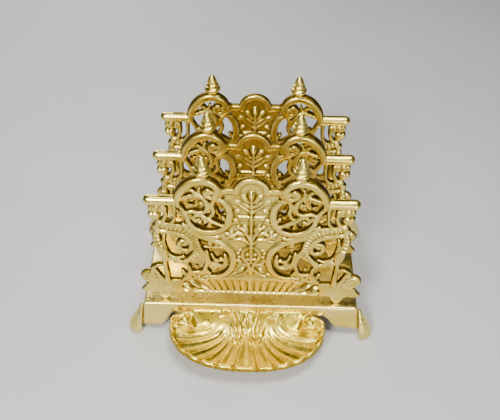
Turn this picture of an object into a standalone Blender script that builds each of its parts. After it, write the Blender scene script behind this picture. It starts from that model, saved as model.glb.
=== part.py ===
"""Cast-brass desk letter rack: three pierced plates on a footed base with a shell tray.

Every size is written in millimetres and turned into metres by MM. The plates stand
along X, one behind the other along Y, and +Z is up. The origin is on the table, under
the middle of the whole rack.
"""

import math

import bmesh
import bpy
from mathutils import Vector

MM = 0.001
GAP = 0.3

# Where things stand, front to back
FRONT_FACE_Y = -23.3
PLATE_THICKNESS = 4.0
PLATE_PITCH = 39.0
PLATE_NAMES = ("front", "middle", "rear")

# Base: a flat top with a flared apron all round
BASE_HALF_WIDTH = 73.0
BASE_HALF_DEPTH = 45.0
BASE_CENTRE_Y = FRONT_FACE_Y + PLATE_PITCH + PLATE_THICKNESS / 2
BASE_TOP_Z = 25.0
APRON_BOTTOM_Z = 4.0
APRON_FLARE = 3.5
SIDE_FLARE = 2.4
WALL = 3.0
EDGE_ROUND = 1.6
FRONT_ARCH_HALF_WIDTH = 59.4
FRONT_ARCH_CROWN_Z = 17.5
PLAIN_ARCH_CROWN_Z = 11.0

# Corners as the signs of X and Y
CORNERS = {
    "front_left": (-1, -1),
    "front_right": (1, -1),
    "back_left": (-1, 1),
    "back_right": (1, 1),
}

# Foot: flat-backed lobe on a side apron, reaching out and ahead of the base's top corner,
# as (height, reach out, forward edge, rear edge)
FOOT_SECTIONS = (
    (0.0, 11.0, 7.3, -3.6),
    (1.0, 12.0, 8.1, -4.4),
    (3.0, 12.2, 8.4, -5.0),
    (6.5, 11.2, 7.9, -5.4),
    (10.5, 9.2, 6.6, -5.4),
    (16.0, 6.2, 4.2, -4.6),
    (21.0, 3.6, 1.5, -3.4),
    (23.4, 2.2, 0.2, -2.4),
)
FOOT_SCREW_Z = 9.5
FOOT_SCREW_DEPTH = 4.0
FOOT_SCREW_FORWARD = -2.7

# Plate fixings
STUD_X = 58.5
STUD_RADIUS = 1.5
STUD_END_Z = 17.2
CLEARANCE_RADIUS = STUD_RADIUS + 0.35
WASHER_RADIUS = 3.5
WASHER_THICKNESS = 0.8
NUT_RADIUS = 3.2
NUT_THICKNESS = 2.6

# Ledges and finials of a plate
LEDGE_Z = 119.75
LEDGE_RADIUS = 3.25
LEDGE_INNER_X = 42.0
LEDGE_OUTER_X = 62.75
FINIAL_X = 27.5
FINIAL_PROFILE = (
    (0.0, 153.6),
    (1.5, 152.6),
    (3.1, 148.6),
    (2.5, 147.6),
    (3.9, 146.8),
    (3.9, 145.6),
    (3.0, 144.9),
    (4.9, 143.6),
    (4.9, 142.0),
    (3.6, 141.0),
    (3.6, 138.5),
    (0.0, 138.5),
)

# Tray: a fan of ribs from a hinge boss to a scalloped rim
TRAY_LEFT_REACH = 55.5
TRAY_RIGHT_REACH = 50.6
TRAY_BACK_Y = FRONT_FACE_Y - 5.2
TRAY_RIM_MIDDLE = 6.0
TRAY_RIM_DEPTH = 36.2
TRAY_RIM_Z = 16.6
TRAY_DISH_DEPTH = 9.0
TRAY_HINGE = 1.5
TRAY_RIBS = 13
TRAY_SQUARENESS = 2.3
TRAY_FIRST_ANGLE = math.radians(-5.0)
TRAY_LAST_ANGLE = math.radians(185.0)
TRAY_INNER_SHARE = 0.08
TRAY_THICKNESS = 2.2
TRAY_CURL_X = 44.5
TRAY_CURL_RADIUS = 5.6
TRAY_LUG_X = 34.0
TRAY_SCREW_Z = 19.6

# Half of a plate's edge from the middle of its crest round to the middle of its foot
# band, as (x, z, corner). A corner keeps its angle and any other point is smooth.
PLATE_EDGE = (
    (7.4, 136.45, False),
    (10.2, 131.5, True),
    (16.3, 131.5, True),
    (19.4, 136.6, False),
    (28.5, 140.5, False),
    (37.5, 137.5, False),
    (42.4, 129.0, False),
    (43.0, 122.0, True),
    (58.0, 121.5, True),
    (60.6, 116.0, False),
    (60.6, 109.5, False),
    (57.6, 104.3, False),
    (56.4, 102.5, True),
    (58.8, 98.0, False),
    (60.4, 86.0, False),
    (57.4, 73.0, False),
    (56.8, 62.6, True),
    (64.5, 61.2, True),
    (65.0, 56.2, False),
    (70.6, 53.6, False),
    (72.4, 48.6, False),
    (69.2, 42.4, True),
    (73.4, 34.4, True),
    (71.8, 33.0, True),
    (64.4, 33.0, True),
    (61.2, 25.0 + GAP, True),
    (55.8, 25.0 + GAP, True),
    (52.0, 33.4, True),
    (20.0, 33.4, True),
)
CREST_Z = 139.5

# Openings of the right half of a plate, as smooth closed outlines in (x, z)
OPENINGS = {
    "crest scroll": ((27.5, 126.6), (37.6, 126.0), (36.6, 132.6), (30.0, 136.4),
                     (25.0, 134.6), (28.0, 130.6)),
    "upper window": ((30.4, 118.0), (37.0, 116.8), (38.4, 120.2), (34.0, 122.6)),
    "upper ring": ((16.2, 117.2), (19.6, 121.0), (23.0, 116.0), (20.4, 109.8), (17.0, 111.8)),
    "lower ring": ((18.6, 103.2), (21.0, 98.8), (26.4, 96.8), (32.2, 99.8), (32.0, 105.0),
                   (25.0, 105.0)),
    "inner bracket": ((39.4, 102.0), (43.4, 102.4), (43.8, 110.6), (41.6, 113.6)),
    "outer bracket": ((46.9, 104.6), (49.2, 107.0), (49.2, 112.4), (47.2, 114.6), (46.2, 110.0)),
    "cornucopia": ((38.6, 76.8), (41.0, 72.4), (45.6, 70.8), (50.2, 73.6), (51.8, 81.0),
                   (49.8, 89.2), (46.4, 90.6), (46.2, 83.6), (42.4, 77.6)),
    "lower window": ((45.6, 49.2), (52.2, 48.8), (52.0, 62.0), (47.0, 64.8), (41.2, 62.6),
                     (41.4, 57.0), (44.6, 54.6)),
    "flower": ((30.2, 60.4), (34.4, 57.2), (38.6, 59.2), (37.4, 66.4), (33.0, 70.6)),
    "disc leaf": ((57.8, 51.6), (61.0, 51.8), (62.2, 57.0), (58.2, 59.2)),
    "side scroll top": ((16.4, 75.4), (17.4, 80.0), (22.0, 82.4), (25.2, 80.8), (28.0, 84.4),
                        (29.4, 88.6), (31.4, 85.6), (30.8, 77.4), (24.6, 74.2), (19.0, 72.6)),
    "side scroll foot": ((14.8, 64.0), (16.0, 58.4), (20.4, 55.2), (25.6, 58.4), (23.0, 61.8),
                         (17.6, 63.2)),
}

# Fluted foot band, let into the front of a plate between its two tabs
BAND_HALF_TOP = 43.0
BAND_HALF_FOOT = 46.5
BAND_TOP_Z = 47.0
BAND_DEPTH = 1.8

BRASS_PALE = (0.80, 0.66, 0.33)
BRASS_GOLD = (0.78, 0.55, 0.16)
BRASS_DARK = (0.50, 0.34, 0.12)
STEEL = (0.42, 0.40, 0.37)


def clear_scene():
    """Empty the file of objects."""
    for item in list(bpy.data.objects):
        bpy.data.objects.remove(item, do_unlink=True)


def make_collection(name):
    """Add a collection to the scene."""
    collection = bpy.data.collections.new(name)
    bpy.context.scene.collection.children.link(collection)
    return collection


def make_metal(name, colour, roughness):
    """Return a plain metal material."""
    material = bpy.data.materials.new(name)
    material.use_nodes = True
    shader = material.node_tree.nodes["Principled BSDF"]
    shader.inputs["Base Color"].default_value = (*colour, 1.0)
    shader.inputs["Roughness"].default_value = roughness
    shader.inputs["Metallic"].default_value = 1.0
    return material


def shade(mesh):
    """Shade round stretches smooth and keep the sharp edges."""
    mesh.shade_smooth()
    mesh.set_sharp_from_angle(angle=math.radians(35.0))


def add_part(name, mesh, material, parts):
    """Put a finished mesh into the model as a named object."""
    mesh.materials.clear()
    mesh.materials.append(material)
    shade(mesh)
    part = bpy.data.objects.new(name, mesh)
    parts.objects.link(part)
    return part


def mesh_of(body, name):
    """Return a new mesh from a bmesh and free the bmesh."""
    mesh = bpy.data.meshes.new(name)
    body.to_mesh(mesh)
    body.free()
    return mesh


def add_tool(name, mesh, tools):
    """Put a mesh into the cutter collection, where it is never rendered."""
    tool = bpy.data.objects.new(name, mesh)
    tool.display_type = "WIRE"
    tool.hide_render = True
    tools.objects.link(tool)
    return tool


def combine(target, tool, operation):
    """Let a tool object cut or join a target object."""
    modifier = target.modifiers.new(operation.title() + " " + tool.name, "BOOLEAN")
    modifier.operation = operation
    modifier.solver = "MANIFOLD"
    modifier.object = tool


def evaluated_mesh(source):
    """Return the mesh that an object shows with its modifiers, with its seams welded."""
    bpy.context.view_layer.update()
    graph = bpy.context.evaluated_depsgraph_get()
    mesh = bpy.data.meshes.new_from_object(source.evaluated_get(graph))
    body = bmesh.new()
    body.from_mesh(mesh)
    bmesh.ops.remove_doubles(body, verts=body.verts, dist=0.00002)
    bmesh.ops.recalc_face_normals(body, faces=body.faces)
    body.to_mesh(mesh)
    body.free()
    return mesh


def box_mesh(name, low, high):
    """Return a box between two corners given in millimetres."""
    body = bmesh.new()
    bmesh.ops.create_cube(body, size=1.0)
    size = Vector(high) - Vector(low)
    middle = (Vector(high) + Vector(low)) / 2
    bmesh.ops.scale(body, vec=size * MM, verts=body.verts)
    bmesh.ops.translate(body, vec=middle * MM, verts=body.verts)
    return mesh_of(body, name)


def rod_mesh(name, radius, start, end, sides=20):
    """Return a round or many-sided bar between two points given in millimetres."""
    start = Vector(start)
    end = Vector(end)
    body = bmesh.new()
    bmesh.ops.create_cone(
        body, cap_ends=True, segments=sides, radius1=radius * MM, radius2=radius * MM,
        depth=(end - start).length * MM,
    )
    turn = Vector((0, 0, 1)).rotation_difference(end - start)
    bmesh.ops.rotate(body, matrix=turn.to_matrix(), verts=body.verts)
    bmesh.ops.translate(body, vec=(start + end) / 2 * MM, verts=body.verts)
    return mesh_of(body, name)


def ball_mesh(name, radii, centre):
    """Return an ellipsoid from its three radii and its centre in millimetres."""
    body = bmesh.new()
    bmesh.ops.create_uvsphere(body, u_segments=12, v_segments=8, radius=1.0)
    bmesh.ops.scale(body, vec=Vector(radii) * MM, verts=body.verts)
    bmesh.ops.translate(body, vec=Vector(centre) * MM, verts=body.verts)
    return mesh_of(body, name)


def join_all(name, mesh, tool_steps, tools):
    """Return a mesh after joining and cutting it with (operation, mesh) steps in turn."""
    target = add_tool(name, mesh, tools)
    for number, (operation, tool_mesh) in enumerate(tool_steps):
        tool = add_tool(f"{name}_tool_{number:02d}", tool_mesh, tools)
        combine(target, tool, operation)
    return evaluated_mesh(target)


def add_spline(curve, points):
    """Add a closed smooth outline of (x, z, corner) points in millimetres."""
    spline = curve.splines.new("BEZIER")
    spline.use_cyclic_u = True
    spline.resolution_u = 2
    spline.bezier_points.add(len(points) - 1)
    for knot, (x, z, corner) in zip(spline.bezier_points, points):
        knot.co = (x * MM, z * MM, 0.0)
        kind = "VECTOR" if corner else "AUTO"
        knot.handle_left_type = kind
        knot.handle_right_type = kind


def slab_mesh(name, outlines, thickness, front_y):
    """Return outlines in the XZ plane, thickened backwards from front_y."""
    curve = bpy.data.curves.new(name, "CURVE")
    curve.dimensions = "2D"
    curve.fill_mode = "BOTH"
    curve.extrude = thickness / 2 * MM
    curve.render_resolution_u = 0
    for outline in outlines:
        add_spline(curve, outline)
    flat = bpy.data.objects.new(name, curve)
    bpy.context.scene.collection.objects.link(flat)
    mesh = evaluated_mesh(flat)
    bpy.data.objects.remove(flat, do_unlink=True)
    body = bmesh.new()
    body.from_mesh(mesh)
    upright = Vector((0, 0, 1)).rotation_difference(Vector((0, -1, 0)))
    bmesh.ops.rotate(body, matrix=upright.to_matrix(), verts=body.verts)
    bmesh.ops.translate(body, vec=(0, (front_y + thickness / 2) * MM, 0), verts=body.verts)
    body.to_mesh(mesh)
    body.free()
    return mesh


def turned_mesh(name, profile, x, y, tools, steps=12):
    """Return a turned shape, closed at both ends, from its (radius, height) profile."""
    body = bmesh.new()
    corners = [body.verts.new((radius * MM, 0, height * MM)) for radius, height in profile]
    for upper, lower in zip(corners, corners[1:]):
        body.edges.new((upper, lower))
    blank = add_tool(name, mesh_of(body, name), tools)
    screw = blank.modifiers.new("Turn", "SCREW")
    screw.steps = steps
    screw.render_steps = steps
    screw.use_merge_vertices = True
    screw.merge_threshold = 0.00005
    mesh = evaluated_mesh(blank)
    bpy.data.objects.remove(blank, do_unlink=True)
    body = bmesh.new()
    body.from_mesh(mesh)
    bmesh.ops.translate(body, vec=(x * MM, y * MM, 0), verts=body.verts)
    body.to_mesh(mesh)
    body.free()
    return mesh


def mirrored(points):
    """Return an outline's mirror image across the YZ plane."""
    return [(-x, z, corner) for x, z, corner in reversed(points)]


def plate_outlines():
    """Return the edge of a whole plate and all its openings."""
    edge = [(0.0, CREST_Z, False), *PLATE_EDGE, *mirrored(PLATE_EDGE)]
    outlines = [edge]
    for opening in OPENINGS.values():
        points = [(x, z, False) for x, z in opening]
        outlines.append(points)
        outlines.append(mirrored(points))
    return outlines


def plate_mesh(tools):
    """Return one plate, with its front face at Y = 0."""
    middle_y = PLATE_THICKNESS / 2
    slab = slab_mesh("plate_slab", plate_outlines(), PLATE_THICKNESS, 0.0)
    steps = []
    for side in (-1, 1):
        inner = (side * LEDGE_INNER_X, middle_y, LEDGE_Z)
        outer = (side * (LEDGE_OUTER_X - LEDGE_RADIUS / 2), middle_y, LEDGE_Z)
        tip_radii = (LEDGE_RADIUS / 2, LEDGE_RADIUS * 0.97, LEDGE_RADIUS * 0.97)
        stud_top = (side * STUD_X, middle_y, BASE_TOP_Z + 2.0)
        stud_end = (side * STUD_X, middle_y, STUD_END_Z)
        finial = turned_mesh("finial", FINIAL_PROFILE, side * FINIAL_X, middle_y, tools)
        steps.append(("UNION", rod_mesh("ledge", LEDGE_RADIUS, inner, outer, sides=12)))
        steps.append(("UNION", ball_mesh("ledge_tip", tip_radii, outer)))
        steps.append(("UNION", rod_mesh("stud", STUD_RADIUS, stud_top, stud_end, sides=12)))
        steps.append(("UNION", finial))
    band = [
        (BAND_HALF_TOP, BAND_TOP_Z, True),
        (BAND_HALF_FOOT, 20.0, True),
        (-BAND_HALF_FOOT, 20.0, True),
        (-BAND_HALF_TOP, BAND_TOP_Z, True),
    ]
    steps.append(("DIFFERENCE", slab_mesh("band_pocket", [band], BAND_DEPTH + 1.0, -1.0)))
    return join_all("plate_blank", slab, steps, tools)


def build_plates(material, parts, tools):
    """Make the three plates, which are castings from one pattern."""
    mesh = plate_mesh(tools)
    for number, name in enumerate(PLATE_NAMES):
        plate = add_part(f"{name}_plate", mesh, material, parts)
        plate.location.y = (FRONT_FACE_Y + number * PLATE_PITCH) * MM


def base_ring(share):
    """Return the base's outline, anticlockwise, at a share of the way down its aprons."""
    half_width = BASE_HALF_WIDTH + SIDE_FLARE * share
    half_depth = BASE_HALF_DEPTH + APRON_FLARE * share
    ring = [(half_width, half_depth), (-half_width, half_depth)]
    ring += [(-half_width, -half_depth), (half_width, -half_depth)]
    return [(x, y + BASE_CENTRE_Y) for x, y in ring]


def base_skin():
    """Return the open outer skin of the base, with a rounded top edge."""
    body = bmesh.new()
    top = [body.verts.new((x * MM, y * MM, BASE_TOP_Z * MM)) for x, y in base_ring(0.0)]
    foot = [body.verts.new((x * MM, y * MM, APRON_BOTTOM_Z * MM)) for x, y in base_ring(1.0)]
    body.faces.new(top)
    for number, corner in enumerate(top):
        previous = top[number - 1]
        body.faces.new((previous, foot[number - 1], foot[number], corner))
    bmesh.ops.recalc_face_normals(body, faces=body.faces)
    rounded = [edge for edge in body.edges if edge.verts[0] in top or edge.verts[1] in top]
    bmesh.ops.bevel(
        body, geom=rounded, offset=EDGE_ROUND * MM, segments=3,
        profile=0.5, affect="EDGES",
    )
    if max(body.faces, key=lambda face: face.calc_area()).normal.z < 0:
        bmesh.ops.reverse_faces(body, faces=body.faces)
    return mesh_of(body, "base_skin")


def arch_cutter(name, half_width, crown_z, along_x, centre, reach):
    """Return a cutter for a low arch through an apron that runs along X or along Y."""
    low = APRON_BOTTOM_Z - 2.0
    rise = crown_z - low
    arch = [
        (-half_width, low, True),
        (half_width, low, True),
        (half_width - 0.6, low + rise * 0.55, False),
        (half_width - 3.0, crown_z, True),
        (-half_width + 3.0, crown_z, True),
        (-half_width + 0.6, low + rise * 0.55, False),
    ]
    mesh = slab_mesh(name, [arch], reach, -reach / 2)
    body = bmesh.new()
    body.from_mesh(mesh)
    if not along_x:
        quarter_turn = Vector((1, 0, 0)).rotation_difference(Vector((0, 1, 0)))
        bmesh.ops.rotate(body, matrix=quarter_turn.to_matrix(), verts=body.verts)
    bmesh.ops.translate(body, vec=(centre[0] * MM, centre[1] * MM, 0), verts=body.verts)
    body.to_mesh(mesh)
    body.free()
    return mesh


def side_lean(height):
    """Return how far a side apron's outer face stands out from the top's edge at a height."""
    return SIDE_FLARE * (BASE_TOP_Z - height) / (BASE_TOP_Z - APRON_BOTTOM_Z)


def corner_point(corner, out, forward, height):
    """Return a point measured outwards and forwards from a corner of the base's top."""
    side_x, side_y = corner
    x = side_x * (BASE_HALF_WIDTH + out)
    y = side_y * (BASE_HALF_DEPTH + forward) + BASE_CENTRE_Y
    return (x, y, height)


def stud_places():
    """Return a name and a place for each of the six plate studs."""
    places = {}
    for number, plate in enumerate(PLATE_NAMES):
        y = FRONT_FACE_Y + number * PLATE_PITCH + PLATE_THICKNESS / 2
        places[f"{plate}_left"] = (-STUD_X, y)
        places[f"{plate}_right"] = (STUD_X, y)
    return places


def apron_face_y(height):
    """Return the Y of the front apron's outer face at a height."""
    share = (BASE_TOP_Z - height) / (BASE_TOP_Z - APRON_BOTTOM_Z)
    return BASE_CENTRE_Y - BASE_HALF_DEPTH - APRON_FLARE * share


def build_base(material, parts, tools):
    """Make the base: top, aprons, arches and the holes for studs and screws."""
    skin = add_tool("base_blank", base_skin(), tools)
    shell = skin.modifiers.new("Wall", "SOLIDIFY")
    shell.thickness = WALL * MM
    shell.offset = -1.0
    shell.use_even_offset = True
    back_y = BASE_CENTRE_Y + BASE_HALF_DEPTH
    front_y = BASE_CENTRE_Y - BASE_HALF_DEPTH
    side_x = BASE_HALF_WIDTH + SIDE_FLARE
    steps = [
        ("DIFFERENCE", arch_cutter("front_arch", FRONT_ARCH_HALF_WIDTH, FRONT_ARCH_CROWN_Z, True, (0, front_y), 16.0)),
        ("DIFFERENCE", arch_cutter("back_arch", 54.0, PLAIN_ARCH_CROWN_Z, True, (0, back_y), 16.0)),
    ]
    for side in (-1, 1):
        place = (side * side_x, BASE_CENTRE_Y)
        steps.append(("DIFFERENCE", arch_cutter("side_arch", 26.0, PLAIN_ARCH_CROWN_Z, False, place, 20.0)))
        start = (side * TRAY_LUG_X, FRONT_FACE_Y + 2.0, TRAY_SCREW_Z)
        end = (side * TRAY_LUG_X, apron_face_y(TRAY_SCREW_Z) + 0.9, TRAY_SCREW_Z)
        steps.append(("DIFFERENCE", rod_mesh("tray_screw_hole", 1.4, start, end, sides=12)))
    for x, y in stud_places().values():
        hole = rod_mesh("stud_hole", CLEARANCE_RADIUS, (x, y, BASE_TOP_Z + 2), (x, y, 19.0), sides=16)
        steps.append(("DIFFERENCE", hole))
    for corner in CORNERS.values():
        face = side_lean(FOOT_SCREW_Z)
        start = corner_point(corner, face - WALL - 2.0, FOOT_SCREW_FORWARD, FOOT_SCREW_Z)
        end = corner_point(corner, face + 2.0, FOOT_SCREW_FORWARD, FOOT_SCREW_Z)
        steps.append(("DIFFERENCE", rod_mesh("foot_screw_hole", 1.4, start, end, sides=12)))
    for number, (operation, tool_mesh) in enumerate(steps):
        combine(skin, add_tool(f"base_tool_{number:02d}", tool_mesh, tools), operation)
    add_part("base", evaluated_mesh(skin), material, parts)


def foot_section(corner, height, reach, forward, rear, sides=12):
    """Return one level of a foot: a flat back along the side apron and a rounded front."""
    back = side_lean(height) + GAP
    section = []
    for number in range(sides + 1):
        angle = math.pi * number / sides - math.pi / 2
        out = back + (reach - back) * math.cos(angle) ** 0.8
        along = (forward + rear) / 2 + (forward - rear) / 2 * math.sin(angle)
        section.append(Vector(corner_point(corner, out, along, height)) * MM)
    return section


def foot_mesh(name, corner, tools):
    """Return one foot, lofted through its sections, with a blind hole for its screw."""
    body = bmesh.new()
    rings = []
    for level in FOOT_SECTIONS:
        rings.append([body.verts.new(point) for point in foot_section(corner, *level)])
    for lower, upper in zip(rings, rings[1:]):
        for number in range(len(lower)):
            corners = (lower[number - 1], lower[number], upper[number], upper[number - 1])
            body.faces.new(corners)
    body.faces.new(list(reversed(rings[0])))
    body.faces.new(rings[-1])
    bmesh.ops.recalc_face_normals(body, faces=body.faces)
    face = side_lean(FOOT_SCREW_Z)
    start = corner_point(corner, face - 2.0, FOOT_SCREW_FORWARD, FOOT_SCREW_Z)
    end = corner_point(corner, face + FOOT_SCREW_DEPTH + 0.8, FOOT_SCREW_FORWARD, FOOT_SCREW_Z)
    hole = rod_mesh("screw_hole", 1.4, start, end, sides=12)
    return join_all(name, mesh_of(body, name), [("DIFFERENCE", hole)], tools)


def build_feet(foot_metal, screw_metal, parts, tools):
    """Make four feet and the screw that holds each one to its side apron."""
    face = side_lean(FOOT_SCREW_Z)
    reaches = (face - WALL - GAP - 1.8, face - WALL - GAP, face + FOOT_SCREW_DEPTH)
    for name, corner in CORNERS.items():
        add_part(f"foot_{name}", foot_mesh(f"foot_blank_{name}", corner, tools), foot_metal, parts)
        inner, seat, tip = (
            corner_point(corner, reach, FOOT_SCREW_FORWARD, FOOT_SCREW_Z) for reach in reaches
        )
        head = rod_mesh("head", 1.9, inner, seat, sides=16)
        shank = rod_mesh("shank", 1.05, inner, tip, sides=12)
        screw = join_all(f"foot_screw_blank_{name}", head, [("UNION", shank)], tools)
        add_part(f"foot_screw_{name}", screw, screw_metal, parts)


def tray_rim(angle):
    """Return a rim point as (x, distance ahead of the tray's back line)."""
    reach = TRAY_RIGHT_REACH if math.cos(angle) > 0 else TRAY_LEFT_REACH
    power = 2.0 / TRAY_SQUARENESS
    out = math.copysign(abs(math.cos(angle)) ** power, math.cos(angle))
    ahead = math.copysign(abs(math.sin(angle)) ** power, math.sin(angle))
    return reach * out, TRAY_RIM_MIDDLE + TRAY_RIM_DEPTH * ahead


def tray_point(across, along):
    """Return a dish point from its share across the fan and its share out to the rim."""
    angle = TRAY_FIRST_ANGLE + across * (TRAY_LAST_ANGLE - TRAY_FIRST_ANGLE)
    scallop = 1.0 - 0.012 * math.cos(2 * math.pi * across * TRAY_RIBS) * along
    share = (TRAY_INNER_SHARE + along * (1.0 - TRAY_INNER_SHARE)) * scallop
    rim_x, rim_ahead = tray_rim(angle)
    depth = TRAY_DISH_DEPTH * max(math.sin(math.pi * across), 0.0) ** 0.5
    sink = max(math.sin(math.pi * along ** 0.8), 0.0) ** 0.85
    x = rim_x * share
    y = TRAY_BACK_Y - TRAY_HINGE - (rim_ahead - TRAY_HINGE) * share
    return Vector((x, y, TRAY_RIM_Z - depth * sink)) * MM


def tray_dish():
    """Return the ribbed dish as a closed skin, lofted round the fan."""
    drop = Vector((0, 0, TRAY_THICKNESS * MM))
    steps = TRAY_RIBS * 4
    body = bmesh.new()
    sections = []
    for step in range(steps + 1):
        upper = [tray_point(step / steps, share / 5) for share in range(6)]
        lower = [point - drop for point in reversed(upper)]
        sections.append([body.verts.new(point) for point in upper + lower])
    for here, there in zip(sections, sections[1:]):
        for number in range(len(here)):
            body.faces.new((here[number - 1], here[number], there[number], there[number - 1]))
    body.faces.new(list(reversed(sections[0])))
    body.faces.new(sections[-1])
    bmesh.ops.recalc_face_normals(body, faces=body.faces)
    return mesh_of(body, "dish_blank")


def build_tray(tray_metal, screw_metal, parts, tools):
    """Make the shell tray, its back rail, its two lugs and the screw in each lug."""
    rail_low = (-TRAY_CURL_X, FRONT_FACE_Y - 7.4, 13.6)
    rail_high = (TRAY_CURL_X, FRONT_FACE_Y + 1.2, FRONT_ARCH_CROWN_Z - GAP)
    hinge = (0.0, TRAY_BACK_Y - 4.0, TRAY_RIM_Z - 1.5)
    steps = [
        ("UNION", box_mesh("rail", rail_low, rail_high)),
        ("UNION", ball_mesh("hinge", (9.0, 5.2, 3.2), hinge)),
    ]
    for side in (-1, 1):
        curl = (side * TRAY_CURL_X, FRONT_FACE_Y - 11.2, TRAY_RIM_Z - 0.6)
        radii = (TRAY_CURL_RADIUS, TRAY_CURL_RADIUS, 3.4)
        lug_low = (side * TRAY_LUG_X - 5.0, FRONT_FACE_Y - 0.8, 16.0)
        lug_high = (side * TRAY_LUG_X + 5.0, FRONT_FACE_Y + 1.2, 21.2)
        steps.append(("UNION", ball_mesh("curl", radii, curl)))
        steps.append(("UNION", box_mesh("lug", lug_low, lug_high)))
    for side in (-1, 1):
        start = (side * TRAY_LUG_X, FRONT_FACE_Y + 4.0, TRAY_SCREW_Z)
        end = (side * TRAY_LUG_X, FRONT_FACE_Y - 4.0, TRAY_SCREW_Z)
        steps.append(("DIFFERENCE", rod_mesh("tray_screw_way", 1.4, start, end, sides=12)))
    mesh = join_all("tray_blank", tray_dish(), steps, tools)
    add_part("shell_tray", mesh, tray_metal, parts)
    for name, side in (("left", -1), ("right", 1)):
        x = side * TRAY_LUG_X
        head_back = (x, FRONT_FACE_Y + 3.1, TRAY_SCREW_Z)
        head_front = (x, FRONT_FACE_Y + 1.2 + GAP, TRAY_SCREW_Z)
        tip = (x, apron_face_y(TRAY_SCREW_Z) + 1.3, TRAY_SCREW_Z)
        head = rod_mesh("head", 2.0, head_back, head_front, sides=16)
        shank = rod_mesh("shank", 1.05, head_back, tip, sides=12)
        screw = join_all(f"tray_screw_blank_{name}", head, [("UNION", shank)], tools)
        add_part(f"tray_screw_{name}", screw, screw_metal, parts)


def build_plate_fixings(washer_metal, nut_metal, parts, tools):
    """Make a washer and a nut for each plate stud, under the base's top."""
    washer_top = BASE_TOP_Z - WALL - GAP
    washer_low = washer_top - WASHER_THICKNESS
    nut_top = washer_low - GAP
    nut_low = nut_top - NUT_THICKNESS
    hole = rod_mesh("hole", CLEARANCE_RADIUS, (0, 0, 0), (0, 0, BASE_TOP_Z), sides=16)
    disc = rod_mesh("disc", WASHER_RADIUS, (0, 0, washer_low), (0, 0, washer_top), sides=24)
    hexagon = rod_mesh("hexagon", NUT_RADIUS, (0, 0, nut_low), (0, 0, nut_top), sides=6)
    washer_mesh = join_all("washer_blank", disc, [("DIFFERENCE", hole)], tools)
    nut_mesh = join_all("nut_blank", hexagon, [("DIFFERENCE", hole)], tools)
    for name, (x, y) in stud_places().items():
        washer = add_part(f"washer_{name}", washer_mesh, washer_metal, parts)
        nut = add_part(f"nut_{name}", nut_mesh, nut_metal, parts)
        for piece in (washer, nut):
            piece.location = (x * MM, y * MM, 0.0)


def main():
    """Build the letter rack."""
    clear_scene()
    parts = make_collection("letter_rack")
    tools = make_collection("cutters")
    tools.hide_render = True
    plate_metal = make_metal("plate_brass", BRASS_PALE, 0.28)
    base_metal = make_metal("base_brass", BRASS_GOLD, 0.24)
    tray_metal = make_metal("tray_brass", BRASS_GOLD, 0.26)
    foot_metal = make_metal("foot_brass", BRASS_PALE, 0.24)
    nut_metal = make_metal("nut_brass", BRASS_DARK, 0.45)
    screw_metal = make_metal("screw_steel", STEEL, 0.5)
    build_base(base_metal, parts, tools)
    build_plates(plate_metal, parts, tools)
    build_tray(tray_metal, screw_metal, parts, tools)
    build_feet(foot_metal, screw_metal, parts, tools)
    build_plate_fixings(nut_metal, nut_metal, parts, tools)


main()
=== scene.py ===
"""Looks of the cast-brass letter rack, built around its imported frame.

Shapes are written in millimetres and turned into metres by MM. Each casting is a
relief: a sheet of metal on a fine grid whose two faces stand out by a height, so that
scrolls, leaves and flutes are real geometry.
"""

import math

import bmesh
import bpy
import numpy as np
from mathutils import Matrix, Vector
from mathutils.kdtree import KDTree


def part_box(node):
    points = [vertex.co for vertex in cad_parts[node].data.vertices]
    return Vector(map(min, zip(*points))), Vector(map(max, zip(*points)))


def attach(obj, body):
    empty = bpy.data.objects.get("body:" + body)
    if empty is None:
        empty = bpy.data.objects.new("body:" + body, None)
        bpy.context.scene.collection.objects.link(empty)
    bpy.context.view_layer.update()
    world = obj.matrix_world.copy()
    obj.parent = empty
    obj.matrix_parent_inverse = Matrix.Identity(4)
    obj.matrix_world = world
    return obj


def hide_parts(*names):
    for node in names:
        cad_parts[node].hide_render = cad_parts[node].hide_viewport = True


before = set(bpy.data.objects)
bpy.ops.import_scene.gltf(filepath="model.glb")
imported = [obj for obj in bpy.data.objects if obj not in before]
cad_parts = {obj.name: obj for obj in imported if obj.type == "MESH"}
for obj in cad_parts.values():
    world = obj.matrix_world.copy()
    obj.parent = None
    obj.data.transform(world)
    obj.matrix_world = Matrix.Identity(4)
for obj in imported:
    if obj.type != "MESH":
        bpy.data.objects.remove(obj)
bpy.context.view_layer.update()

MM = 0.001

# The numbers of the mix node's factor, two colours and result
MIX_INPUTS = (0, 6, 7)
MIX_RESULT = 2

PLATES = ("front_plate", "middle_plate", "rear_plate")
FEET = ("foot_front_left", "foot_front_right", "foot_back_left", "foot_back_right")

# Grid steps of the two reliefs
PLATE_STEP = 0.55
TRAY_STEP = 0.37

# How far a plate's parts stand out from the middle of its sheet, and its finest lines
RIM = 0.8
PANEL_FACE = 1.1
TAB_FACE = 2.0
PLATE_FACE_AHEAD = 2.0
BACK_FACE = (0.6, 1.5)
FIELD_LINE_DEPTH = 0.32
BAND_FLUTE_PITCH = 4.1

# How much bolder bands and engraved details are than their listed heights
BAND_LIFT = 1.3
ENGRAVING_LIFT = 1.9
GROOVE_DEPTH = 0.55
EVERYWHERE = (slice(None), slice(None))

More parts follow.
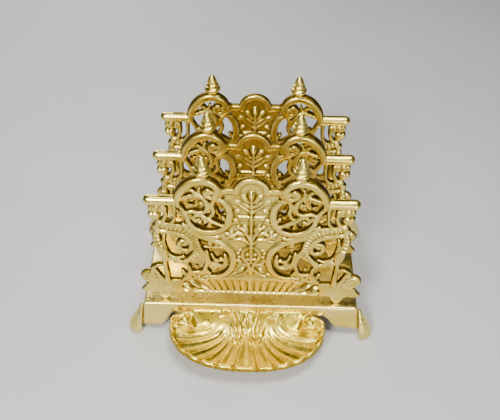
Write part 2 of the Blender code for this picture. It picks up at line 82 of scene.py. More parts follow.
# Each metal: polished and deep tones, a dark tone that paints shade into recesses and also tints
# specks, roughness, bump and the recess depths over which that painted shade comes in
PLAIN_SKIN = (0.25, (0.05, 0.7))
FINISHES = {
    "plate_brass_cast":
        ((0.85, 0.67, 0.165), (0.66, 0.50, 0.065), (0.12, 0.066, 0.002), 0.29, 0.25, (0.0, 0.38)),
    "base_brass_cast":
        ((0.87, 0.70, 0.21), (0.76, 0.56, 0.09), (0.20, 0.12, 0.006), 0.27, *PLAIN_SKIN),
    "tray_brass_cast":
        ((0.92, 0.755, 0.14), (0.84, 0.64, 0.035), (0.38, 0.24, 0.001), 0.25, 0.15, (-0.1, 0.45)),
    "foot_brass_cast":
        ((0.86, 0.73, 0.25), (0.72, 0.58, 0.12), (0.14, 0.09, 0.006), 0.28, *PLAIN_SKIN),
    "screw_steel_dull":
        ((0.42, 0.40, 0.37), (0.34, 0.32, 0.29), (0.14, 0.12, 0.10), 0.45, *PLAIN_SKIN),
    "nut_brass_dull":
        ((0.50, 0.36, 0.15), (0.38, 0.25, 0.09), (0.14, 0.08, 0.02), 0.42, *PLAIN_SKIN),
}
PATCH_SCALE = 45.0
WEAR_SCALE = 160.0
SWELL_SCALE = 220.0
SPECK_SCALE = 900.0
SKIN_SCALE = 1400.0
FLOOR_TONES = ((0.42, 0.42, 0.41, 1), (0.46, 0.45, 0.44, 1))
FLOOR_HALF_SIZE = 1.6
FLOOR_PATCH_SCALE = 6.0
WORLD_TONE = (0.80, 0.84, 0.90, 1.0)
WORLD_STRENGTH = 0.06

# Soft lights in metres and watts: name, place, side length and power
LIGHTS = (
    ("key", (-0.24, -0.60, 0.62), 0.20, 11.0),
    ("top", (0.10, -0.05, 0.80), 0.25, 7.0),
    ("front", (0.35, -0.85, 0.20), 0.25, 4.5),
    ("back", (-0.3, 0.65, 0.45), 0.35, 3.5),
)
LIGHT_TARGET = (0, 0, 0.06)

# The camera: place in millimetres from the floor under the front plate's middle, and its turns
CAMERA_LENS = 44.2
CAMERA_SENSOR = 36.0
CAMERA_CLIP_START = 0.01
CAMERA_FROM_FRONT_PLATE = (5.6, -248.2, 371.3)
CAMERA_PITCH = math.radians(46.1)
CAMERA_YAW = math.radians(-1.5)
CAMERA_ROLL = math.radians(0.5)


# ---------------------------------------------------------------- paths and reliefs

def smooth_path(points, spacing=0.25):
    """Return a Catmull-Rom path through rows of numbers, about evenly spaced in its plan."""
    rows = np.array(points, float)
    rows = np.vstack([2 * rows[0] - rows[1], rows, 2 * rows[-1] - rows[-2]])
    pieces = []
    for before, start, end, after in zip(rows, rows[1:], rows[2:], rows[3:]):
        count = max(2, int(np.hypot(*(end - start)[:2]) / spacing))
        share = np.linspace(0, 1, count, endpoint=False)[:, None]
        pieces.append(0.5 * (
            2 * start
            + (end - before) * share
            + (2 * before - 5 * start + 4 * end - after) * share ** 2
            + (3 * start - before - 3 * end + after) * share ** 3
        ))
    pieces.append(rows[-2][None])
    return np.vstack(pieces)


def bell(distance, width):
    """Return 1 at no distance, falling smoothly away over the width."""
    return np.exp(-(distance / width) ** 2)


def ramp(value, start, length):
    """Return 0 up to the start, rising evenly to 1 over a length."""
    return np.clip((value - start) / length, 0, 1)


def blurred(field):
    """Return a grid of values blended with their neighbours. Its edges repeat themselves."""
    for axis in (0, 1):
        first, last = field.take([0], axis), field.take([-1], axis)
        wide = np.concatenate([first, field, last], axis)
        count = field.shape[axis]
        before, after = wide.take(range(count), axis), wide.take(range(2, count + 2), axis)
        field = (before + 2 * field + after) / 4
    return field


class Relief:
    """A sheet of metal on a grid: where it is solid, and how far its two faces stand out."""

    def __init__(self, low, high, step, lift=1.0):
        self.step = step
        self.lift = lift
        across = np.arange(low[0], high[0] + step, step)
        along = np.arange(low[1], high[1] + step, step)
        self.u, self.v = np.meshgrid(across, along, indexing="ij")
        self.inside = np.full(self.u.shape, -9.0)
        self.front = np.zeros(self.u.shape)
        self.back = np.zeros(self.u.shape)

    def window(self, low, high):
        """Return the part of the grid that covers a box."""
        first = [max(0, int((low[i] - (self.u, self.v)[i][0, 0]) / self.step) - 1) for i in (0, 1)]
        last = [int((high[i] - (self.u, self.v)[i][0, 0]) / self.step) + 3 for i in (0, 1)]
        return slice(first[0], max(last[0], 0)), slice(first[1], max(last[1], 0))

    def near(self, points):
        """Return the part of the grid near a path, with distance, half width and length along."""
        path = smooth_path(points)
        reach = path[:, 2].max() + 2 * self.step
        part = self.window(path[:, :2].min(0) - reach, path[:, :2].max(0) + reach)
        u, v = self.u[part], self.v[part]
        gap_u = u[..., None] - path[:, 0]
        gap_v = v[..., None] - path[:, 1]
        square = gap_u ** 2 + gap_v ** 2
        nearest = square.argmin(-1)
        length = np.concatenate([[0], np.cumsum(np.hypot(*np.diff(path[:, :2], axis=0).T))])
        pick_u = np.take_along_axis(gap_u, nearest[..., None], -1)[..., 0]
        pick_v = np.take_along_axis(gap_v, nearest[..., None], -1)[..., 0]
        distance = np.sqrt(pick_u ** 2 + pick_v ** 2)
        return part, distance, path[nearest, 2], length[nearest]

    def raise_to(self, part, solid, level):
        """Make the sheet solid where solid is above 0, with its front at least at level."""
        self.inside[part] = np.maximum(self.inside[part], solid)
        front = self.front[part]
        self.front[part] = np.where(solid > 0, np.maximum(front, level), front)

    def band(self, points, height, base=RIM, groove=GROOVE_DEPTH, ribs=0.0, rib_pitch=1.6, flat=False):
        """Add a scroll of grooved or flat section along a path of (u, v, half width)."""
        part, distance, width, length = self.near(points)
        share = np.clip(distance / width, 0, 1)
        height = height * BAND_LIFT
        if flat:
            groove = 0
            rise = height * np.clip((1 - share) * width / 0.7, 0, 1) ** 0.5
        else:
            rise = height * np.sqrt(1 - share ** 2)
        rise = rise - groove * bell(share, 0.3)
        rise = rise + ribs * np.sin(length * 2 * math.pi / rib_pitch) * (1 - share ** 4)
        self.raise_to(part, width - distance, base + rise)

    def ridge(self, points, height):
        """Raise a soft ridge, or sink one where height is below 0, on metal that is there."""
        part, distance, width, _ = self.near(points)
        self.front[part] += self.lift * height * np.clip(1 - (distance / width) ** 2, 0, 1) ** 2

    def boss(self, centre, radii, turn, height, crease=0.0):
        """Raise a leaf or boss on metal that is there."""
        self.blob(centre, radii, turn, height, crease=crease, solid=False)

    def blob(self, centre, radii, turn, height, base=RIM, solid=True, crease=0.0):
        """Add a leaf or boss: an ellipse turned by degrees, with an optional middle crease."""
        reach = max(radii) + self.step
        centre = np.array(centre, float)
        part = self.window(centre - reach, centre + reach)
        angle = math.radians(turn)
        gap_u = self.u[part] - centre[0]
        gap_v = self.v[part] - centre[1]
        along = (gap_u * math.cos(angle) + gap_v * math.sin(angle)) / radii[0]
        across = (gap_v * math.cos(angle) - gap_u * math.sin(angle)) / radii[1]
        radius = np.sqrt(along ** 2 + across ** 2)
        rise = height * np.sqrt(np.clip(1 - radius ** 2, 0, 1))
        rise = rise - crease * bell(across, 0.22) * np.clip(1 - radius, 0, 1)
        if solid:
            self.raise_to(part, (1 - radius) * min(radii), base + rise)
        else:
            self.front[part] += np.where(radius < 1, self.lift * rise, 0)

    def spiral(self, centre, radius, start, turns, width, height, base=RIM, hand=1):
        """Add a volute that winds in from a start angle in degrees."""
        count = max(8, int(turns * 14))
        share = np.linspace(0, 1, count)
        angle = math.radians(start) + hand * share * turns * 2 * math.pi
        reach = radius * (1 - 0.86 * share)
        rows = np.stack([
            centre[0] + reach * np.cos(angle),
            centre[1] + reach * np.sin(angle),
            width * (1 - 0.45 * share),
        ], -1)
        self.band(rows, height, base)
        self.blob(centre, (radius * 0.3, radius * 0.3), 0, height * 1.1, base)

    def slab(self, points, level, soft=0.7):
        """Add a flat piece with a straight-sided outline and a softened edge."""
        outline = np.array(points, float)
        reach = 2 * self.step
        part = self.window(outline.min(0) - reach, outline.max(0) + reach)
        u, v = self.u[part], self.v[part]
        nearest = np.full(u.shape, 99.0)
        odd = np.zeros(u.shape, bool)
        for start, end in zip(outline, np.roll(outline, -1, axis=0)):
            run = end - start
            share = ((u - start[0]) * run[0] + (v - start[1]) * run[1]) / (run @ run)
            share = np.clip(share, 0, 1)
            gap = np.hypot(u - start[0] - share * run[0], v - start[1] - share * run[1])
            nearest = np.minimum(nearest, gap)
            crosses = (start[1] > v) != (end[1] > v)
            slope = run[0] / (run[1] if run[1] else 1e-9)
            odd ^= crosses & (u < start[0] + (v - start[1]) * slope)
        solid = np.where(odd, nearest, -nearest)
        edge = np.clip(solid / soft, 0, 1)
        rise = RIM + (level - RIM) * np.sqrt(1 - (1 - edge) ** 2)
        self.raise_to(part, solid, rise)

    def soften(self):
        """Blur the front a little, as casting sand and polishing do."""
        self.front = blurred(self.front)

    def recess(self, spread=6):
        """Return how deep each front point lies below its surroundings, in millimetres."""
        solid = (self.inside > 0).astype(float)
        level = self.front * solid
        weight = solid.copy()
        for _ in range(spread):
            level = blurred(level)
            weight = blurred(weight)
        return level / np.maximum(weight, 0.05) - self.front


def mirror_right(relief):
    """Copy a relief's right half onto its left half. Its first column lies on the middle."""
    whole = Relief.__new__(Relief)
    whole.step = relief.step
    whole.u = np.concatenate([-relief.u[:0:-1], relief.u])
    for name in ("v", "inside", "front", "back"):
        part = getattr(relief, name)
        setattr(whole, name, np.concatenate([part[:0:-1], part]))
    return whole


def relief_mesh(name, relief, place):
    """Return a closed mesh of a relief; place turns (u, v, height) into a point in mm."""
    inside = relief.inside
    centres = (inside[:-1, :-1] + inside[1:, :-1] + inside[:-1, 1:] + inside[1:, 1:]) / 4
    keep = np.pad(centres > 0, 1)
    neighbours = keep[:-1, :-1].astype(int) + keep[1:, :-1] + keep[:-1, 1:] + keep[1:, 1:]
    used = neighbours > 0
    border = used & (neighbours < 4)
    slope_u, slope_v = np.gradient(inside, relief.step)
    steepness = np.maximum(slope_u ** 2 + slope_v ** 2, 0.25)
    limit = 0.8 * relief.step
    pull = np.where(border, np.clip(inside, -limit, limit) / steepness, 0)
    u = relief.u - pull * slope_u
    v = relief.v - pull * slope_v
    number = np.full(used.shape, -1)
    number[used] = np.arange(used.sum())
    total = int(used.sum())
    points = np.concatenate([
        place(u[used], v[used], height[used]) for height in (relief.front, relief.back)
    ])
    keep = keep[1:-1, 1:-1]
    cell_u, cell_v = np.nonzero(keep)
    a = number[cell_u, cell_v]
    b = number[cell_u + 1, cell_v]
    c = number[cell_u + 1, cell_v + 1]
    d = number[cell_u, cell_v + 1]
    quads = [np.stack([a, b, c, d], -1), np.stack([d, c, b, a], -1) + total]
    wide = np.pad(keep, 1)
    sides = (
        (wide[1:-1, :-2], (0, 0), (1, 0)),
        (wide[2:, 1:-1], (1, 0), (1, 1)),
        (wide[1:-1, 2:], (1, 1), (0, 1)),
        (wide[:-2, 1:-1], (0, 1), (0, 0)),
    )
    for beside, start, end in sides:
        edge_u, edge_v = np.nonzero(keep & ~beside)
        first = number[edge_u + start[0], edge_v + start[1]]
        second = number[edge_u + end[0], edge_v + end[1]]
        quads.append(np.stack([second, first, first + total, second + total], -1))
    quads = np.concatenate(quads)
    mesh = bpy.data.meshes.new(name)
    mesh.from_pydata((points * MM).tolist(), [], quads.tolist())
    # How deep each front point lies; the materials use it to paint shade into the hollows
    attribute = mesh.attributes.new("recess", "FLOAT", "POINT")
    depth = np.concatenate([relief.recess()[used], np.zeros(total)])
    attribute.data.foreach_set("value", depth.astype(np.float32))
    corners = points[quads]
    volume = np.einsum("ij,ij->i", corners[:, 0], np.cross(corners[:, 1], corners[:, 2]))
    volume += np.einsum("ij,ij->i", corners[:, 0], np.cross(corners[:, 2], corners[:, 3]))
    if volume.sum() < 0:
        mesh.flip_normals()
    mesh.shade_smooth()
    return mesh


# ---------------------------------------------------------------- solid shapes

def body_mesh(name, body):
    """Return a smooth-shaded mesh from a bmesh and free the bmesh."""
    mesh = bpy.data.meshes.new(name)
    body.to_mesh(mesh)
    body.free()
    mesh.shade_smooth()
    return mesh


def ringed_mesh(name, body, rings, merge, capped=False):
    """Return a mesh that joins rings of vertices, with points nearer than merge made one."""
    for upper, lower in zip(rings, rings[1:]):
        for number in range(len(upper)):
            body.faces.new((upper[number - 1], lower[number - 1], lower[number], upper[number]))
    if capped:
        body.faces.new(rings[0])
        body.faces.new(list(reversed(rings[-1])))
    bmesh.ops.remove_doubles(body, verts=body.verts, dist=merge)
    bmesh.ops.recalc_face_normals(body, faces=body.faces)
    return body_mesh(name, body)


def turned_mesh(name, profile, axis_point, axis="Z", steps=40):
    """Return a turned shape from its (radius, height) profile, listed top to bottom."""
    rows = smooth_path([(r, h, 0) for r, h in profile], 0.3)
    radii = np.maximum(rows[:, 0], 0)
    body = bmesh.new()
    rings = []
    for radius, height in zip(radii, rows[:, 1]):
        ring = []
        for number in range(steps):
            angle = 2 * math.pi * number / steps
            local = Vector((radius * math.cos(angle), radius * math.sin(angle), height))
            if axis == "X":
                local = Vector((local.z, local.x, local.y))
            ring.append(body.verts.new((local + Vector(axis_point)) * MM))
        rings.append(ring)
    return ringed_mesh(name, body, rings, 0.00001, capped=True)


def joined(name, meshes):
    """Return one mesh that holds several meshes side by side."""
    body = bmesh.new()
    for mesh in meshes:
        body.from_mesh(mesh)
    return body_mesh(name, body)


# ---------------------------------------------------------------- materials

def node(tree, kind, **values):
    """Add a shader node and set its fields and its input values."""
    made = tree.nodes.new(kind)
    for name, value in values.items():
        if name in made.inputs:
            made.inputs[name].default_value = value
        else:
            setattr(made, name, value)
    return made


def mix_colour(tree, factor, first, second):
    """Mix two colours, each a socket or a value, and return the result's socket."""
    mix = tree.nodes.new("ShaderNodeMix")
    mix.data_type = "RGBA"
    for slot, value in zip(MIX_INPUTS, (factor, first, second)):
        if isinstance(value, bpy.types.NodeSocket):
            tree.links.new(value, mix.inputs[slot])
        else:
            mix.inputs[slot].default_value = value
    return mix.outputs[MIX_RESULT]


def remap(tree, value, *limits):
    """Map a socket from low and high onto a second low and high, or onto 0 and 1."""
    ranger = node(tree, "ShaderNodeMapRange")
    for name, limit in zip(("From Min", "From Max", "To Min", "To Max"), limits):
        ranger.inputs[name].default_value = limit
    tree.links.new(value, ranger.inputs["Value"])
    return ranger.outputs["Result"]


def noise(tree, scale, detail=4.0):
    """Return a noise value in object space."""
    place = tree.nodes.new("ShaderNodeTexCoord")
    made = node(tree, "ShaderNodeTexNoise", Scale=scale, Detail=detail, Roughness=0.55)
    tree.links.new(place.outputs["Object"], made.inputs["Vector"])
    return made.outputs["Fac"]


def cast_metal(name):
    """Return a cast metal: polish, tarnish patches, painted shade in recesses, dark specks and a fine
    cast skin.
    """
    polished, deep, shade_and_speck_tone, roughness, bump, recess_range = FINISHES[name]
    material = bpy.data.materials.new(name)
    material.use_nodes = True
    tree = material.node_tree
    link = tree.links.new
    shader = tree.nodes["Principled BSDF"]
    shader.inputs["Metallic"].default_value = 1.0
    recess = node(tree, "ShaderNodeAttribute", attribute_name="recess").outputs["Fac"]
    hollow = remap(tree, recess, *recess_range)
    patches = remap(tree, noise(tree, PATCH_SCALE), 0.38, 0.68)
    specks = remap(tree, noise(tree, SPECK_SCALE, 2.0), 0.62, 0.74)
    colour = mix_colour(tree, patches, (*polished, 1), (*deep, 1))
    # Painted shade: the deeper a point lies in a recess, the more its colour is darkened toward the
    # dark tone, standing in for the shade that falls there
    colour = mix_colour(tree, hollow, colour, (*shade_and_speck_tone, 1))
    # Random dark specks in the same dark tone
    colour = mix_colour(tree, remap(tree, specks, 0, 1, 0, 0.2), colour, (*shade_and_speck_tone, 1))
    link(colour, shader.inputs["Base Color"])
    worn = remap(tree, noise(tree, WEAR_SCALE), 0.3, 0.7, roughness - 0.05, roughness + 0.09)
    dull = node(tree, "ShaderNodeMath", operation="MULTIPLY_ADD")
    link(hollow, dull.inputs[0])
    dull.inputs[1].default_value = 0.18
    link(worn, dull.inputs[2])
    link(dull.outputs[0], shader.inputs["Roughness"])
    skin = node(tree, "ShaderNodeBump", Strength=bump, Distance=0.0003)
    link(noise(tree, SKIN_SCALE, 3.0), skin.inputs["Height"])
    swell = node(tree, "ShaderNodeBump", Strength=bump, Distance=0.0008)
    link(noise(tree, SWELL_SCALE, 3.0), swell.inputs["Height"])
    link(swell.outputs["Normal"], skin.inputs["Normal"])
    link(skin.outputs["Normal"], shader.inputs["Normal"])
    return material


def floor_paint():
    """Return a plain pale matt floor."""
    material = bpy.data.materials.new("floor_paint")
    material.use_nodes = True
    tree = material.node_tree
    shader = tree.nodes["Principled BSDF"]
    shader.inputs["Roughness"].default_value = 0.6
    tint = remap(tree, noise(tree, FLOOR_PATCH_SCALE), 0.3, 0.7)
    colour = mix_colour(tree, tint, *FLOOR_TONES)
    tree.links.new(colour, shader.inputs["Base Color"])
    return material


# ---------------------------------------------------------------- placing pieces

def front_face_y():
    """Return the Y of the front plate's face, in millimetres."""
    low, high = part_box("front_plate")
    return (low.y + high.y) / 2 / MM - PLATE_FACE_AHEAD


def add_piece(name, mesh, material, stands_for):
    """Show a mesh as the looks of a CAD node."""
    if not mesh.materials:
        mesh.materials.append(material)
    piece = bpy.data.objects.new(name, mesh)
    bpy.context.scene.collection.objects.link(piece)
    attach(piece, "root")
    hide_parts(stands_for)
    return piece


# ---------------------------------------------------------------- the pierced plates

def plate_panel(relief):
    """Add the middle panel: its field of fine lines, its crest and its raised border."""
    edge = np.array([
        (50.4, 19.0), (53.0, 16.0), (57.0, 12.0), (62.0, 9.8), (68.0, 9.2), (74.0, 10.0),
        (80.0, 12.5), (86.0, 17.0), (89.0, 21.0), (92.0, 21.5), (96.0, 18.5), (100.0, 15.0),
        (106.0, 13.0), (112.0, 12.6), (117.0, 13.2), (122.0, 15.4), (127.0, 16.6), (131.4, 17.0),
    ])
    half = np.interp(relief.v, edge[:, 0], edge[:, 1])
    solid = np.minimum(half - relief.u, np.minimum(relief.v - 47.5, 131.4 - relief.v))
    crest = 10.5 - np.hypot(relief.u, relief.v - 129.0)
    solid = np.maximum(solid, crest)
    lines = FIELD_LINE_DEPTH * np.sin(relief.v * 2 * math.pi / 1.5 + 0.6 * np.sin(relief.u * 0.7))
    relief.raise_to(EVERYWHERE, solid, PANEL_FACE + lines)
    crest_line = [(8.9 * math.sin(a), 128.8 + 8.9 * math.cos(a), 1.9) for a in np.linspace(0, 1.62, 9)]
    relief.band(crest_line, 0.9, PANEL_FACE, flat=True)
    relief.band([(9.0, 129.3, 2.0), (13.0, 129.2, 2.0), (17.0, 129.0, 2.0)], 0.8, PANEL_FACE, flat=True)
    relief.band([(0, 49.0, 1.5), (14, 49.0, 1.5), (26, 48.6, 1.4)], 1.2)


def plate_foliage(relief):
    """Add the stem, bud, leaves and flowers that stand on the panel."""
    relief.ridge([(0.0, 66.0, 1.1), (0.0, 96.0, 1.2), (0.0, 110.0, 1.2), (0.0, 127.0, 1.0)], 0.9)
    relief.boss((0.0, 126.5), (1.9, 3.6), 0, 1.2)
    relief.boss((3.6, 123.6), (4.2, 1.5), 58, 1.0, crease=0.4)
    relief.boss((3.0, 118.4), (3.6, 1.2), 40, 0.7, crease=0.3)
    relief.ridge([(0.5, 113.0, 0.9), (4.0, 115.6, 0.9), (7.4, 119.0, 0.9), (10.4, 120.4, 0.8)], 0.8)
    relief.boss((8.6, 121.4), (2.6, 1.0), 30, 0.6)
    relief.boss((8.4, 113.4), (2.2, 1.4), -40, 0.9, crease=0.3)
    relief.ridge([(0.0, 108.8, 0.9), (7.6, 108.8, 0.9)], 1.1)
    relief.ridge([(0.0, 106.6, 0.9), (7.0, 106.6, 0.9)], 0.8)
    relief.boss((9.2, 105.0), (2.6, 1.6), 70, 1.0, crease=0.4)
    relief.boss((11.4, 103.2), (2.2, 1.1), 20, 0.7)
    relief.ridge([(0.6, 88.0, 1.4), (2.2, 93.0, 1.6), (4.8, 97.6, 1.5), (7.8, 100.6, 1.0)], 1.3)
    relief.boss((3.4, 98.8), (3.8, 1.4), 64, 0.9, crease=0.4)
    relief.boss((6.4, 94.0), (3.4, 1.4), 24, 0.8, crease=0.3)
    for turn in range(0, 360, 72):
        spread = math.radians(turn + 18)
        petal = (12.0 + 2.3 * math.cos(spread), 92.6 + 2.3 * math.sin(spread))
        relief.boss(petal, (2.2, 1.3), turn + 18, 0.9)
    relief.boss((12.0, 92.6), (1.3, 1.3), 0, 0.8)
    relief.ridge([(1.0, 85.0, 1.3), (5.0, 88.6, 1.3), (9.6, 88.4, 1.1), (13.6, 86.2, 0.9)], 0.9)
    relief.ridge([(0.0, 83.0, 1.0), (3.4, 79.6, 1.2), (5.4, 74.6, 1.2), (4.2, 69.0, 1.1),
                  (1.4, 64.6, 1.0), (1.6, 59.6, 1.0), (5.2, 55.4, 1.1), (9.6, 52.6, 1.0)], 1.0)
    relief.ridge([(0.0, 61.6, 0.9), (3.6, 64.4, 0.9), (7.4, 63.4, 0.8)], 0.7)
    relief.boss((6.6, 58.6), (3.4, 1.5), -60, 1.0, crease=0.4)
    relief.boss((11.4, 54.4), (2.6, 1.1), -35, 0.7)
    for dot in ((7.0, 78.4), (8.2, 75.4), (7.4, 71.8), (8.4, 68.6), (7.2, 66.4), (2.6, 74.2),
                (2.0, 69.6)):
        relief.boss(dot, (1.1, 1.1), 0, 0.8)
    relief.boss((0.0, 57.4), (1.4, 4.4), 0, 0.9, crease=0.3)


def plate_upper_scrolls(relief):
    """Add the arch scroll with its volute, the ring below it and the scrolls inside them."""
    relief.band([(22.5, 123.4, 1.6), (17.2, 121.8, 1.9), (13.9, 116.4, 2.1), (13.0, 109.4, 2.3),
                 (14.4, 102.2, 2.3), (19.0, 96.6, 2.3), (26.0, 94.4, 2.3), (32.6, 96.8, 2.2),
                 (36.6, 102.0, 2.0), (38.4, 108.0, 1.7), (40.2, 113.6, 1.6), (42.4, 117.6, 1.8)],
                1.9, groove=0.8)
    relief.band([(20.5, 90.4, 1.6), (27.0, 90.6, 1.8), (33.2, 93.0, 1.8), (37.8, 97.2, 1.7),
                 (40.6, 101.4, 1.5)], 1.7)
    relief.band([(39.4, 123.2, 1.6), (34.0, 125.6, 1.8), (28.6, 124.4, 1.8), (25.8, 119.4, 1.8),
                 (26.4, 113.8, 1.8), (30.4, 111.8, 1.7), (35.2, 112.6, 1.6), (39.0, 110.4, 1.5)],
                1.8, groove=0.4)
    relief.band([(17.4, 101.6, 1.3), (21.6, 103.8, 1.8), (25.4, 106.2, 1.9), (28.6, 109.2, 1.9),
                 (32.2, 110.0, 1.7), (34.2, 107.4, 1.6), (32.8, 104.8, 1.5), (30.9, 106.2, 1.3)], 2.1)
    relief.band([(21.6, 121.8, 1.5), (23.0, 117.4, 1.6), (22.2, 112.6, 1.5), (23.8, 108.6, 1.4)], 1.5)
    relief.blob((36.0, 108.0), (2.6, 1.7), 80, 1.6, crease=0.4)
    relief.blob((16.6, 106.4), (2.4, 1.4), 70, 1.3)
    relief.band([(42.4, 117.5, 1.7), (42.8, 121.5, 2.3), (41.2, 127.2, 2.8), (37.4, 132.9, 3.0),
                 (32.5, 136.4, 3.1), (27.0, 137.3, 3.1), (22.2, 135.2, 2.9), (19.6, 131.4, 2.6),
                 (20.0, 127.4, 2.3), (22.4, 124.9, 1.9), (25.8, 126.4, 1.8), (26.4, 129.4, 1.7),
                 (24.2, 131.0, 1.5), (22.8, 129.2, 1.3)], 2.5, groove=0.5)
    relief.blob((23.9, 128.4), (1.9, 1.9), 0, 2.2)
    relief.band([(31.5, 126.0, 1.2), (33.4, 129.0, 1.5), (36.4, 130.6, 1.4), (39.4, 129.4, 1.2)], 1.4)
    relief.band([(28.4, 124.8, 1.3), (30.0, 128.2, 1.2), (29.6, 131.0, 0.9)], 1.2)
    relief.blob((29.0, 118.6), (2.2, 1.4), 60, 1.3)
    relief.band([(17.0, 131.0, 1.4), (17.6, 126.8, 1.5), (19.4, 123.4, 1.5)], 1.5)
    relief.blob((24.0, 127.6), (4.0, 4.0), 0, 1.2)
    relief.spiral((24.0, 127.6), 3.4, 20, 1.5, 1.2, 2.3)


def plate_ledge(relief):
    """Add the ledge's root, the leaf bracket under it and the struts beside the ring."""
    relief.slab([(41.5, 116.6), (60.0, 116.6), (60.0, 122.9), (41.5, 122.9)], 1.6)
    relief.blob((55.2, 113.4), (5.6, 4.2), 0, 2.2, crease=0.5)
    relief.blob((57.4, 108.0), (3.7, 4.3), -12, 2.1, crease=0.5)
    relief.blob((52.0, 113.2), (2.6, 3.6), 10, 1.6)
    relief.ridge([(51.0, 110.2, 0.9), (56.0, 110.8, 1.1), (61.0, 110.4, 0.9)], -1.1)
    relief.ridge([(54.0, 116.5, 0.7), (54.6, 112.8, 0.8), (54.2, 109.0, 0.6)], -0.7)
    relief.ridge([(58.0, 116.5, 0.7), (58.6, 112.8, 0.8), (58.4, 109.0, 0.6)], -0.6)
    relief.band([(45.2, 116.8, 1.5), (45.2, 110.6, 1.2), (46.0, 104.6, 1.3), (48.6, 101.2, 1.7)], 1.6)
    relief.band([(50.6, 114.4, 1.6), (50.6, 108.4, 1.4), (52.6, 103.6, 1.8)], 1.6)
    relief.band([(38.6, 100.4, 1.6), (43.6, 99.8, 1.7), (49.6, 100.4, 1.9), (55.6, 102.6, 2.0)], 1.7)


def plate_cornucopia(relief):
    """Add the ribbed horn scroll with its volute, and the bell flower at its outer side."""
    relief.slab([(41.0, 92.0), (52.6, 90.8), (56.4, 95.6), (54.6, 101.0), (42.0, 98.6)], 1.3)
    relief.band([(55.8, 101.6, 2.2), (51.0, 98.8, 2.3), (44.6, 97.6, 2.3), (38.8, 94.4, 2.3),
                 (34.8, 89.2, 2.3), (33.2, 82.2, 2.5), (34.8, 75.4, 2.4), (38.4, 70.4, 2.1),
                 (42.0, 67.0, 1.8)], 2.0, ribs=0.7, rib_pitch=2.6)
    relief.band([(54.6, 95.0, 1.6), (48.4, 94.0, 2.0), (42.4, 92.0, 2.2), (38.2, 87.4, 2.2),
                 (37.0, 81.8, 2.0), (38.6, 78.2, 1.9), (42.2, 78.2, 1.8), (44.6, 81.6, 1.8),
                 (43.8, 85.6, 1.7), (40.8, 86.6, 1.5), (39.6, 84.0, 1.3)], 2.1)
    relief.blob((41.4, 83.2), (2.0, 2.0), 0, 2.4)
    relief.blob((57.2, 97.6), (3.2, 2.6), 60, 2.2, crease=0.5)
    relief.band([(57.4, 95.0, 2.2), (58.0, 89.6, 2.6), (57.6, 84.4, 2.9), (56.6, 80.0, 2.7)],
                2.2, ribs=0.7, rib_pitch=3.3)
    relief.band([(56.6, 80.6, 2.6), (55.6, 76.0, 3.5), (54.9, 71.6, 2.9), (54.6, 67.6, 2.0)], 2.0)
    for lean in (-1.9, -0.7, 0.7, 1.9):
        relief.ridge([(56.2 + lean * 0.6, 80.0, 0.6), (55.4 + lean, 75.6, 0.6),
                      (54.8 + lean * 0.7, 70.6, 0.5)], 0.7)
    relief.band([(53.4, 90.0, 1.2), (53.8, 84.0, 1.4), (53.0, 77.0, 1.4), (51.0, 72.0, 1.4),
                 (47.0, 69.6, 1.4), (42.6, 70.8, 1.2)], 1.4)
    relief.band([(54.6, 68.6, 1.9), (50.0, 68.8, 1.9), (45.8, 67.0, 1.8), (42.2, 65.8, 1.7),
                 (39.2, 67.8, 1.7)], 1.9)


def plate_side_scroll(relief):
    """Add the round border beside the lower panel, with the curling leaf inside it."""
    relief.band([(31.8, 90.6, 1.6), (26.4, 88.6, 1.9), (20.8, 86.2, 2.1), (15.4, 81.4, 2.2),
                 (12.2, 74.8, 2.2), (11.4, 67.6, 2.2), (12.9, 60.2, 2.2), (17.0, 54.4, 2.1),
                 (22.6, 51.6, 1.9), (28.0, 51.6, 1.7)], 1.9, groove=0.8)
    relief.blob((25.4, 84.8), (4.0, 1.9), 90, 1.9)
    relief.band([(27.6, 77.0, 1.2), (27.2, 71.6, 1.5), (26.2, 66.4, 1.8), (23.0, 63.0, 1.9),
                 (19.2, 63.0, 1.8), (16.4, 65.8, 1.7), (15.8, 70.0, 1.6), (16.4, 74.0, 1.3)],
                1.9, groove=0.3)
    relief.blob((18.8, 69.4), (2.3, 2.1), 0, 2.3)
    relief.band([(18.4, 69.2, 1.4), (21.4, 68.2, 1.5), (23.4, 70.4, 1.3), (24.6, 74.2, 1.0)], 1.6)
    relief.blob((22.2, 65.6), (3.0, 1.5), 25, 1.7, crease=0.4)
    relief.band([(32.0, 81.0, 1.5), (30.2, 75.6, 1.6), (28.8, 70.0, 1.6), (28.4, 64.4, 1.7),
                 (29.2, 59.4, 1.7), (26.8, 55.0, 1.6)], 1.8, ribs=0.15, rib_pitch=2.4)
    relief.blob((29.6, 74.0), (2.6, 1.8), 20, 2.0)


